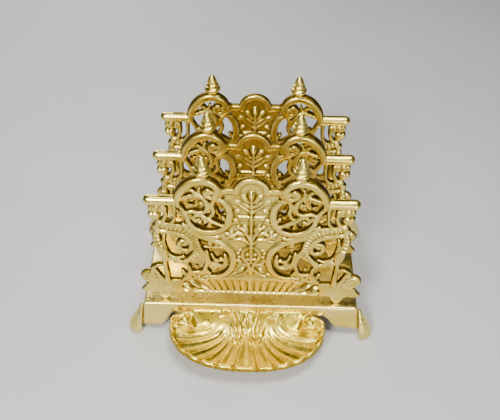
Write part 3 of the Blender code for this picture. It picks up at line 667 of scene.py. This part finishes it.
def plate_lower_scrolls(relief):
    """Add the flower opening, the small volutes above the foot band and the outer stem."""
    relief.band([(31.6, 75.4, 1.3), (34.6, 72.0, 1.5), (38.0, 68.8, 1.5), (40.6, 65.4, 1.4)], 1.7)
    relief.band([(42.4, 65.6, 1.4), (39.9, 61.4, 1.5), (39.4, 56.4, 1.6), (40.6, 51.4, 1.7),
                 (43.8, 47.6, 1.8)], 1.8)
    relief.blob((43.6, 54.0), (3.4, 1.6), 75, 1.7, crease=0.3)
    relief.band([(29.4, 59.0, 1.5), (31.8, 56.4, 1.5), (36.0, 55.4, 1.6), (39.8, 57.0, 1.4)], 1.7)
    relief.spiral((30.4, 50.6), 4.4, 100, 1.4, 1.4, 1.7, hand=-1)
    relief.spiral((39.0, 50.6), 3.7, 60, 1.3, 1.3, 1.6)
    relief.slab([(18.0, 46.0), (45.6, 46.0), (45.0, 50.6), (36.0, 53.8), (27.0, 53.8),
                 (19.0, 50.4)], 1.0)
    relief.blob((34.8, 60.0), (2.0, 1.0), 80, 1.1)
    relief.band([(54.7, 68.4, 1.9), (54.9, 62.0, 1.8), (54.5, 55.6, 1.8), (54.6, 50.0, 2.0),
                 (54.8, 45.0, 2.2)], 1.7, flat=True)
    relief.band([(55.4, 61.9, 1.4), (60.0, 61.2, 1.4), (63.4, 58.6, 1.6), (63.6, 54.8, 1.8)], 1.6)
    relief.band([(62.4, 58.2, 1.2), (60.6, 53.2, 1.3), (59.0, 48.8, 1.7), (58.0, 45.6, 1.7)], 1.5)
    relief.blob((47.0, 65.0), (3.0, 1.3), -8, 1.6)


def plate_tab(relief):
    """Add the plain tab, the scrolled disc at its outer side and the lobe it stands on."""
    relief.slab([(44.0, 46.8), (56.4, 47.2), (61.0, 46.4), (66.0, 43.2), (69.2, 42.2), (70.2, 39.4),
                 (73.6, 34.8), (72.0, 33.0), (47.2, 33.0)], TAB_FACE, soft=0.5)
    relief.slab([(52.6, 33.6), (64.2, 33.6), (62.6, 29.4), (60.6, 25.3), (56.4, 25.3),
                 (54.0, 29.4)], TAB_FACE + 0.2, soft=2.4)
    relief.band([(71.6, 34.0, 1.0), (68.0, 33.9, 1.0), (63.0, 33.6, 1.0)], 1.4)
    disc = (66.0, 49.0)
    relief.blob(disc, (6.5, 6.5), 0, 0.7, base=1.2)
    relief.spiral(disc, 5.2, -150, 1.6, 1.5, 1.1, base=1.3)


def plate_foot_band(relief):
    """Add the fluted band between the tabs: hollow in section, its flutes fanning upwards."""
    u, v = relief.u, relief.v
    share = ramp(v, 33.4, 13.6)
    solid = np.minimum(np.minimum(v - 33.2, 48.2 - v), 47.6 - 3.4 * share - u)
    fan = u / (1 + 0.26 * share)
    flutes = 1.5 * np.abs(np.cos(fan * math.pi / BAND_FLUTE_PITCH)) - 0.7
    leaf = 0.9 * np.sin((u * 0.62 - v * 0.78) * 1.15)
    outer = ramp(fan, 24.5, 3.0)
    hollow = -0.2 + 1.5 * (1 - share) ** 2.2 + 0.9 * share ** 3
    fade = ramp(share, 0.06, 0.2) * np.clip((0.97 - share) / 0.12, 0, 1)
    level = hollow + fade * (flutes * (1 - outer) + leaf * outer)
    relief.raise_to(EVERYWHERE, solid, np.maximum(level, -0.5))
    relief.ridge([(0.0, 34.4, 1.0), (44.0, 34.4, 1.0)], 0.9)
    relief.boss((41.6, 38.6), (4.6, 2.0), 52, 1.1, crease=0.5)
    relief.boss((36.6, 40.6), (4.6, 1.8), 40, 0.9, crease=0.5)


def plate_relief():
    """Return the whole relief of a plate, without its ledges and finials."""
    half = Relief((0.0, 24.5), (75.0, 142.0), PLATE_STEP, ENGRAVING_LIFT)
    plate_foot_band(half)
    plate_panel(half)
    plate_foliage(half)
    plate_upper_scrolls(half)
    plate_ledge(half)
    plate_cornucopia(half)
    plate_side_scroll(half)
    plate_lower_scrolls(half)
    plate_tab(half)
    half.back = -np.clip(BACK_FACE[0] + 0.55 * half.inside, *BACK_FACE)
    half.soften()
    return mirror_right(half)


def cast_waves(u, v, size):
    """Return the low waviness of a hand-finished casting, in millimetres."""
    waves = np.sin(u * 0.21 + 1.3) * np.sin(v * 0.17 + 0.4)
    waves += 0.6 * np.sin(u * 0.47 + v * 0.31 + 2.0)
    waves += 0.35 * np.sin(u * 0.83 - v * 0.71)
    return size * waves


FINIAL = (
    (0.0, 153.5), (1.0, 153.1), (2.0, 151.4), (2.9, 149.4), (3.1, 148.2), (2.6, 147.5),
    (3.4, 147.1), (3.9, 146.4), (3.7, 145.5), (3.1, 145.0), (4.0, 144.7), (4.9, 143.9),
    (5.0, 142.8), (4.5, 141.8), (3.6, 141.2), (3.3, 140.0), (3.3, 138.0),
)
FINIAL_X = 27.5
LEDGE = (
    (0.0, 62.9), (1.5, 62.6), (2.7, 61.4), (3.25, 59.6), (3.2, 56.0), (3.1, 50.0), (3.15, 44.0),
    (2.6, 41.6),
)
LEDGE_Z = 119.75
STUD = ((0.0, 27.0), (1.5, 27.0), (1.5, 22.0), (1.5, 17.4), (0.0, 17.2))
STUD_X = 58.5


def plate_mesh():
    """Return the mesh of a whole plate, with the middle of its sheet on Y = 0."""
    relief = plate_relief()
    relief.front += cast_waves(relief.u, relief.v, 0.06)

    def place(u, v, height):
        return np.stack([u, -height, v], -1)

    meshes = [relief_mesh("plate_sheet", relief, place)]
    for side in (-1, 1):
        meshes.append(turned_mesh("finial", FINIAL, (side * FINIAL_X, 0, 0)))
        ledge = [(radius, side * reach) for radius, reach in LEDGE]
        meshes.append(turned_mesh("ledge", ledge, (0, 0, LEDGE_Z), axis="X"))
        meshes.append(turned_mesh("stud", STUD, (side * STUD_X, 0, 0), steps=20))
    return joined("plate_casting", meshes)


def build_plates(material):
    """Stand the same casting in the place of each CAD plate."""
    mesh = plate_mesh()
    for name in PLATES:
        low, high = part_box(name)
        plate = add_piece(name + "_casting", mesh, material, name)
        plate.location.y = (low.y + high.y) / 2


# ---------------------------------------------------------------- the shell tray

TRAY_MIDDLE_X = -1.9
TRAY_REACH = 52.9
TRAY_SIDE_LINE = 6.0
TRAY_DEPTH = 36.3
TRAY_SQUARENESS = 2.35
TRAY_RIM_Z = 16.4
TRAY_SINK = 8.6
TRAY_WALL = 2.0
TRAY_LEAST_WALL = 0.9
TRAY_BACK_AHEAD = 5.2

# The shell's flutes, its lobed lip and the curl at each end of its hinge
FLUTE_DEPTH = 2.3
RIDGE_SAMPLES = 90
FINE_FLUTES = 176
LOBE_DEPTH = 1.3
LIP_WIDTH = 3.4
LIP_EXTRA_WIDTH = 1.8
LIP_RISE = 2.5
LIP_NOTCH = 2.1
LIP_ROLL = (1.1, 1.3)
CURL_U = 43.2
CURL_V = 5.6
CURL_REACH = 7.2
CURL_RISE = 3.4
CURL_TURN_PITCH = 3.6

# The ridge on the far side of each of the shell's right-hand flutes, from hinge to rim
FLUTE_RIDGES = (
    ((1.9, 9.5), (3.4, 15.5), (5.0, 24.0), (6.6, 33.5), (8.0, 43.0)),
    ((8.4, 14.5), (10.6, 20.0), (13.6, 26.5), (17.0, 34.0), (19.8, 41.5)),
    ((11.4, 12.0), (13.9, 17.3), (18.9, 24.5), (25.5, 31.8), (31.5, 38.0)),
    ((13.9, 9.5), (16.9, 14.5), (22.9, 20.5), (32.5, 26.8), (42.0, 32.5)),
    ((15.9, 6.5), (19.9, 11.0), (26.9, 15.5), (38.0, 20.3), (50.0, 24.5)),
    ((20.9, 4.0), (23.9, 8.0), (30.9, 11.5), (41.0, 14.3), (53.0, 15.0)),
    ((25.9, 3.3), (28.9, 6.2), (34.9, 7.8), (43.0, 9.0), (54.0, 8.5)),
)


def tray_outline(u, v):
    """Return how far inside the tray's plain outline each point lies, and its share outwards."""
    power = TRAY_SQUARENESS
    ahead = np.clip(v - TRAY_SIDE_LINE, 0, None)
    share = ((np.abs(u) / TRAY_REACH) ** power + (ahead / TRAY_DEPTH) ** power) ** (1 / power)
    slope_u, slope_v = np.gradient(share, TRAY_STEP)
    inside = (1 - share) / np.maximum(np.hypot(slope_u, slope_v), 0.008)
    behind = np.clip((TRAY_SIDE_LINE - v) / 7.5, 0, 1)
    back = TRAY_REACH - 7.5 * (1 - np.sqrt(1 - behind ** 2)) - np.abs(u)
    return np.where(v > TRAY_SIDE_LINE, inside, np.minimum(back, v + 1.2)), share


def tray_flutes(u, v):
    """Return each point's flute, counted out from the middle one, and its share out to the rim."""
    samples = np.linspace(0, 1, RIDGE_SAMPLES)
    lines = []
    for ridge in FLUTE_RIDGES:
        path = smooth_path(ridge, 0.3)
        along = np.linspace(0, 1, len(path))
        lines.append(np.column_stack([np.interp(samples, along, path[:, i]) for i in (0, 1)]))
    lines = np.array([lines[0] * (-1, 1)] + lines)
    counts = np.arange(len(lines)) - 0.5
    fine = np.linspace(counts[0], counts[-1], FINE_FLUTES)
    low = np.clip(np.floor(fine + 0.5).astype(int), 0, len(lines) - 2)
    part = (fine - counts[low])[:, None, None]
    net = lines[low] * (1 - part) + lines[low + 1] * part
    last = RIDGE_SAMPLES - 1
    by_count, by_share = np.gradient(net, fine[1] - fine[0], 1 / last, axis=(0, 1))

    tree = KDTree(net.shape[0] * net.shape[1])
    for number, point in enumerate(net.reshape(-1, 2)):
        tree.insert((point[0], point[1], 0), number)
    tree.balance()
    points = np.column_stack([np.abs(u).ravel(), v.ravel()])
    nearest = np.array([tree.find((a, b, 0))[1] for a, b in points])
    row, column = np.divmod(nearest, net.shape[1])
    gap = points - net[row, column]
    across, out = by_count[row, column], by_share[row, column]
    area = across[:, 0] * out[:, 1] - across[:, 1] * out[:, 0]
    area = np.where(np.abs(area) < 1, 1, area)
    step_across = (gap[:, 0] * out[:, 1] - gap[:, 1] * out[:, 0]) / area
    step_out = (across[:, 0] * gap[:, 1] - across[:, 1] * gap[:, 0]) / area
    count = np.clip(fine[row] + np.clip(step_across, -0.6, 0.6), -0.5, 7.1)
    share = column / last + np.clip(step_out, -0.5, 0.3)
    return count.reshape(u.shape), share.reshape(u.shape)


def tray_floor(u, v, reach):
    """Return the height of the tray without its flutes: a bowl with a cove at the hinge."""
    bowl = 1 - np.clip(reach, 0, 1) ** 3.2
    fall = ramp(v, -1.5, 15)
    fall = fall ** 2 * (3 - 2 * fall)
    cove = 4.4 * bell(np.clip(v + 0.4, 0, None), 3.6) * np.clip((47 - np.abs(u)) / 10, 0, 1)
    return TRAY_RIM_Z - TRAY_SINK * bowl * fall + cove


def tray_relief():
    """Return the shell's relief: u across from its middle, v ahead of its back line, z as height."""
    relief = Relief((-55.5, -1.2), (55.5, 43.6), TRAY_STEP)
    u, v = relief.u, relief.v
    inside, reach = tray_outline(u, v)
    count, out = tray_flutes(u, v)
    side = np.abs(2 * (count + 0.5 - np.floor(count + 0.5)) - 1)
    lobe = LOBE_DEPTH * np.sqrt(np.clip(1 - side ** 2, 0, 1)) - 1.0
    relief.inside = inside + lobe * ramp(v, 4, 12) * ramp(reach, 0.8, 0.1)
    edge = relief.inside
    plain = tray_floor(u, v, reach)

    curl_gap = np.hypot(np.abs(u) - CURL_U, (v - CURL_V) * 1.15)
    curl_turn = np.arctan2(v - CURL_V, np.abs(u) - CURL_U)
    curl = np.exp(-(curl_gap / CURL_REACH) ** 6)
    knob = TRAY_RIM_Z + CURL_RISE * bell(curl_gap, 5.6)
    turns = np.cos(2 * math.pi * curl_gap / CURL_TURN_PITCH - curl_turn - 0.8)
    knob += 0.8 * turns * ramp(curl_gap, 0, 1.6)

    lip_width = LIP_WIDTH + LIP_EXTRA_WIDTH * ramp(v, 22, 16)
    lip = LIP_RISE * np.sqrt(np.clip(1 - ((edge - lip_width / 2) / (lip_width / 2)) ** 2, 0, 1))
    lip = (lip - LIP_NOTCH * bell(side - 1, 0.13) * (edge < lip_width)) * ramp(v, 1, 5)

    size = ramp(out, -0.02, 0.22) * (0.55 + 0.45 * np.clip(out, 0, 1))
    size = size * (1 - curl) * np.clip((6.9 - count) / 0.4, 0, 1)
    hollow = FLUTE_DEPTH * np.clip(side / 0.80, 0, 1) ** 1.7 - 1.5
    ridge = 0.7 * bell(side - 0.80, 0.09) - 1.4 * bell(side - 1, 0.08)
    line = 0.25 * bell(side - 0.52, 0.08)
    pocket = lip_width - 1.5 * (1 - side ** 2)
    fade = np.clip((edge - pocket + 0.6) / 1.4, 0, 1)
    shell = plain + size * (hollow + ridge + line) * fade + lip - 0.5 * fade
    shell = shell * (1 - curl) + knob * curl

    roll_width, roll_drop = LIP_ROLL
    roll = ramp(edge, 0, roll_width)
    relief.front = shell - roll_drop * (1 - np.sqrt(1 - (1 - roll) ** 2))
    relief.back = np.minimum(plain, shell) - TRAY_WALL
    relief.back = np.minimum(relief.back, relief.front - TRAY_LEAST_WALL)
    tray_ornament(relief)
    relief.soften()
    return relief


def tray_ornament(relief):
    """Raise the two facing scrolls and the small leaf at the hinge."""
    main = ((8.0, -1.0, 1.65), (6.2, 2.5, 1.87), (4.7, 6.5, 1.98), (4.5, 10.5, 1.87),
            (5.8, 14.5, 1.76), (7.6, 16.8, 1.54))
    outer = ((17.0, 0.2, 1.32), (12.6, 0.4, 1.54), (9.4, 2.6, 1.54), (7.7, 6.4, 1.43),
             (7.4, 10.6, 1.32), (8.8, 14.2, 1.32))
    groove = [(u, v, 0.7) for u, v, _ in main[1:5]]
    leaf = ((19.0, 3.2, 1.0), (15.0, 3.0, 1.4), (12.0, 5.0, 1.5), (10.8, 8.2, 1.3))
    leg = ((0.6, 10.4, 0.9), (2.2, 13.6, 1.0), (4.4, 17.4, 0.9))
    ridges = ((main, 2.5), (outer, 1.7), (groove, -0.5), (leaf, 1.2), (leg, 1.5))
    for side in (-1, 1):
        for points, height in ridges:
            relief.ridge([(side * u, v, width) for u, v, width in points], height)
        relief.boss((side * 9.8, 10.2), (1.7, 2.5), 0, 1.6)
        relief.boss((side * 2.0, 3.6), (2.8, 1.0), 64 * side, 1.2, crease=0.4)
        relief.boss((side * 1.9, 8.2), (2.4, 0.9), 118 * side, 1.0)
    relief.boss((0, 6.0), (1.0, 4.0), 0, 1.5)
    relief.boss((0, 1.2), (1.4, 1.4), 0, 1.2)


def build_tray(material):
    """Make the shell tray in the place of its CAD node."""
    relief = tray_relief()
    relief.front += cast_waves(relief.u * 1.3, relief.v * 1.3, 0.07)
    back_line = front_face_y() - TRAY_BACK_AHEAD

    def place(u, v, height):
        return np.stack([u + TRAY_MIDDLE_X, back_line - v, height], -1)

    mesh = relief_mesh("shell_tray_casting", relief, place)
    add_piece("shell_tray_casting", mesh, material, "shell_tray")


# ---------------------------------------------------------------- the base

BASE_TOP_HALF = (73.0, 45.0)
BASE_LEAN = (2.4, 3.5)
BASE_TOP_Z = 25.0
BASE_LOW_Z = 4.0
BASE_WALL = 3.0
BASE_ROUND = 1.5
BASE_EDGE_STEPS = (260, 160, 260, 160)
APRON_LINE_Z = 8.5
FRONT_EDGE = (
    (-76.0, 4.0), (-64.2, 4.0), (-62.2, 4.6), (-60.4, 6.9), (-58.4, 11.2), (-56.7, 15.2),
    (-55.3, 17.0), (-53.0, 17.6), (50.6, 17.6), (52.3, 16.6), (55.0, 14.0), (57.0, 10.8),
    (59.0, 8.3), (61.0, 8.0), (64.0, 7.2), (67.5, 6.9), (70.0, 6.2), (76.0, 5.6),
)
BACK_EDGE = (
    (-76.0, 4.0), (-56.0, 4.0), (-53.6, 5.6), (-52.0, 9.4), (-49.0, 11.0), (49.0, 11.0),
    (52.0, 9.4), (53.6, 5.6), (56.0, 4.0), (76.0, 4.0),
)
SIDE_EDGE = (
    (-50.0, 4.0), (-28.0, 4.0), (-25.6, 5.6), (-24.0, 9.4), (-21.0, 11.0), (21.0, 11.0),
    (24.0, 9.4), (25.6, 5.6), (28.0, 4.0), (50.0, 4.0),
)


def base_outline(share, inset=0.0):
    """Return the base's outline a share of the way down its aprons, with soft corners."""
    half_x = BASE_TOP_HALF[0] + BASE_LEAN[0] * share - inset
    half_y = BASE_TOP_HALF[1] + BASE_LEAN[1] * share - inset
    ring = [(half_x, half_y), (-half_x, half_y), (-half_x, -half_y), (half_x, -half_y)]
    points = []
    for start, end, count in zip(ring, ring[1:] + ring[:1], BASE_EDGE_STEPS):
        part = np.linspace(0, 1, count, endpoint=False)[:, None]
        points.append(np.array(start) + part * (np.array(end) - np.array(start)))
    points = np.concatenate(points)
    for _ in range(3):
        points = (np.roll(points, 1, 0) + points + np.roll(points, -1, 0)) / 3
    return points


def base_low_edge(points):
    """Return the height of the apron's lower edge at each outline point."""
    half_x, half_y = BASE_TOP_HALF
    front = np.interp(points[:, 0], *np.array(FRONT_EDGE).T)
    back = np.interp(points[:, 0], *np.array(BACK_EDGE).T)
    side = np.interp(points[:, 1], *np.array(SIDE_EDGE).T)
    along_side = np.abs(points[:, 0]) - half_x > np.abs(points[:, 1]) - half_y
    rough = 0.18 * np.sin(points[:, 0] * 1.7) * np.sin(points[:, 0] * 0.61 + 1.0)
    return np.where(along_side, side, np.where(points[:, 1] < 0, front, back)) + rough


def base_rows():
    """Return the base as rings of points: top, rounded edge, aprons, lower rim, inside."""
    low_edge = base_low_edge(base_outline(1.0))
    top, foot = base_outline(0.0), base_outline(1.0)
    rows = []

    def add(points, height):
        rows.append(np.column_stack([points, np.broadcast_to(height, len(points))]))

    for share in (0.0, 0.25, 0.5, 0.7, 0.85, 0.93):
        add(base_outline(0.0, BASE_ROUND) * share, BASE_TOP_Z)
    for angle in np.linspace(0, math.pi / 2, 5):
        inset = BASE_ROUND * (1 - math.sin(angle))
        add(base_outline(0.0, inset), BASE_TOP_Z - BASE_ROUND * (1 - math.cos(angle)))
    for part in np.linspace(0.1, 1.0, 10):
        height = BASE_TOP_Z - BASE_ROUND - part * (BASE_TOP_Z - BASE_ROUND - low_edge - 0.7)
        down = (BASE_TOP_Z - height) / (BASE_TOP_Z - BASE_LOW_Z)
        add(top + (foot - top) * down[:, None], height)
    outer = rows[-1]
    inner = base_outline(0.0, BASE_WALL)
    lean = outer[:, :2] - top
    for part, drop in ((0.12, 0.5), (0.3, 0.7), (0.7, 0.7), (0.88, 0.5), (1.0, 0.0)):
        add(outer[:, :2] * (1 - part) + (inner + lean) * part, outer[:, 2] - drop)
    for part in (0.35, 0.7, 1.0):
        add(inner + lean * (1 - part), outer[:, 2] * (1 - part) + (BASE_TOP_Z - BASE_WALL) * part)
    for part in (0.85, 0.5, 0.0):
        add(inner * part, BASE_TOP_Z - BASE_WALL)
    return rows


def build_base(material):
    """Make the base in the place of its CAD node."""
    low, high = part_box("base")
    middle_y = (low.y + high.y) / 2 / MM
    rows = np.array(base_rows())
    x, y, z = rows[..., 0], rows[..., 1], rows[..., 2]
    top = np.clip((z - 20) / 4, 0, 1)
    rows[..., 2] += top * cast_waves(x * 0.35, y * 0.35, 0.07)
    apron_line = 0.25 * bell(z - APRON_LINE_Z, 1.1) * np.sign(-y)
    rows[..., 1] += cast_waves(x * 0.4 + 3, z * 0.6, 0.09) - apron_line
    rows[..., 1] += middle_y
    body = bmesh.new()
    rings = [[body.verts.new(point) for point in row] for row in rows * MM]
    mesh = ringed_mesh("base_casting", body, rings, 0.00002)
    add_piece("base_casting", mesh, material, "base")


# ---------------------------------------------------------------- the feet

FOOT_VOXEL = 0.5


def build_feet(material):
    """Make each foot as a rounded, hand-filed lobe in the place of its CAD node."""
    for number, name in enumerate(FEET):
        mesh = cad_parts[name].data.copy()
        foot = add_piece(name + "_casting", mesh, material, name)
        remesh = foot.modifiers.new("Remesh", "REMESH")
        remesh.mode = "VOXEL"
        remesh.voxel_size = FOOT_VOXEL * MM
        smooth = foot.modifiers.new("Smooth", "CORRECTIVE_SMOOTH")
        smooth.iterations = 8
        smooth.use_only_smooth = True
        graph = bpy.context.evaluated_depsgraph_get()
        shaped = bpy.data.meshes.new_from_object(foot.evaluated_get(graph))
        foot.modifiers.clear()
        body = bmesh.new()
        body.from_mesh(shaped)
        for vertex in body.verts:
            place = vertex.co / MM
            wave = float(cast_waves(place.x * 1.5 + number * 9, place.z * 1.5 + place.y, 0.08))
            vertex.co += vertex.normal * wave * MM * min(1.0, vertex.co.z / 0.002)
        foot.data = body_mesh(name + "_casting", body)
        foot.data.materials.append(material)


# ---------------------------------------------------------------- camera, light, floor

def build_camera():
    """Look down at the rack from in front, from above the tray."""
    low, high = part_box("front_plate")
    x, y, z = CAMERA_FROM_FRONT_PLATE
    place = Vector((x * MM, (low.y + high.y) / 2 + y * MM, z * MM))
    forward = Vector((
        math.sin(CAMERA_YAW) * math.cos(CAMERA_PITCH),
        math.cos(CAMERA_YAW) * math.cos(CAMERA_PITCH),
        -math.sin(CAMERA_PITCH),
    ))
    level = Vector((math.cos(CAMERA_YAW), -math.sin(CAMERA_YAW), 0.0))
    upright = level.cross(forward)
    right = math.cos(CAMERA_ROLL) * level + math.sin(CAMERA_ROLL) * upright
    up = right.cross(forward)
    data = bpy.data.cameras.new("camera")
    data.lens = CAMERA_LENS
    data.sensor_width = CAMERA_SENSOR
    data.clip_start = CAMERA_CLIP_START
    camera = bpy.data.objects.new("camera", data)
    axes = Matrix((right, up, -forward)).transposed().to_4x4()
    camera.matrix_world = Matrix.Translation(place) @ axes
    bpy.context.scene.collection.objects.link(camera)
    bpy.context.scene.camera = camera


def add_light(name, place, size, power):
    """Add a square soft light that faces the rack."""
    data = bpy.data.lights.new(name, "AREA")
    data.shape = "SQUARE"
    data.size = size
    data.energy = power
    light = bpy.data.objects.new(name, data)
    light.location = place
    aim = Vector(LIGHT_TARGET) - Vector(place)
    light.rotation_euler = aim.to_track_quat("-Z", "Y").to_euler()
    bpy.context.scene.collection.objects.link(light)


def build_studio():
    """Add the floor, the world's grey and the soft lights."""
    body = bmesh.new()
    bmesh.ops.create_grid(body, x_segments=8, y_segments=8, size=FLOOR_HALF_SIZE)
    floor = bpy.data.objects.new("floor", body_mesh("floor", body))
    floor.data.materials.append(floor_paint())
    bpy.context.scene.collection.objects.link(floor)
    world = bpy.data.worlds.new("studio")
    world.use_nodes = True
    sky = world.node_tree.nodes["Background"]
    sky.inputs["Color"].default_value = WORLD_TONE
    sky.inputs["Strength"].default_value = WORLD_STRENGTH
    bpy.context.scene.world = world
    for name, place, size, power in LIGHTS:
        add_light(name, place, size, power)


def main():
    """Build the looks of the rack."""
    build_plates(cast_metal("plate_brass_cast"))
    build_tray(cast_metal("tray_brass_cast"))
    build_base(cast_metal("base_brass_cast"))
    build_feet(cast_metal("foot_brass_cast"))
    screws = cast_metal("screw_steel_dull")
    nuts = cast_metal("nut_brass_dull")
    for name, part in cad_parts.items():
        part.data.materials.clear()
        part.data.materials.append(nuts if name.startswith(("nut_", "washer_")) else screws)
    build_studio()
    build_camera()


main()
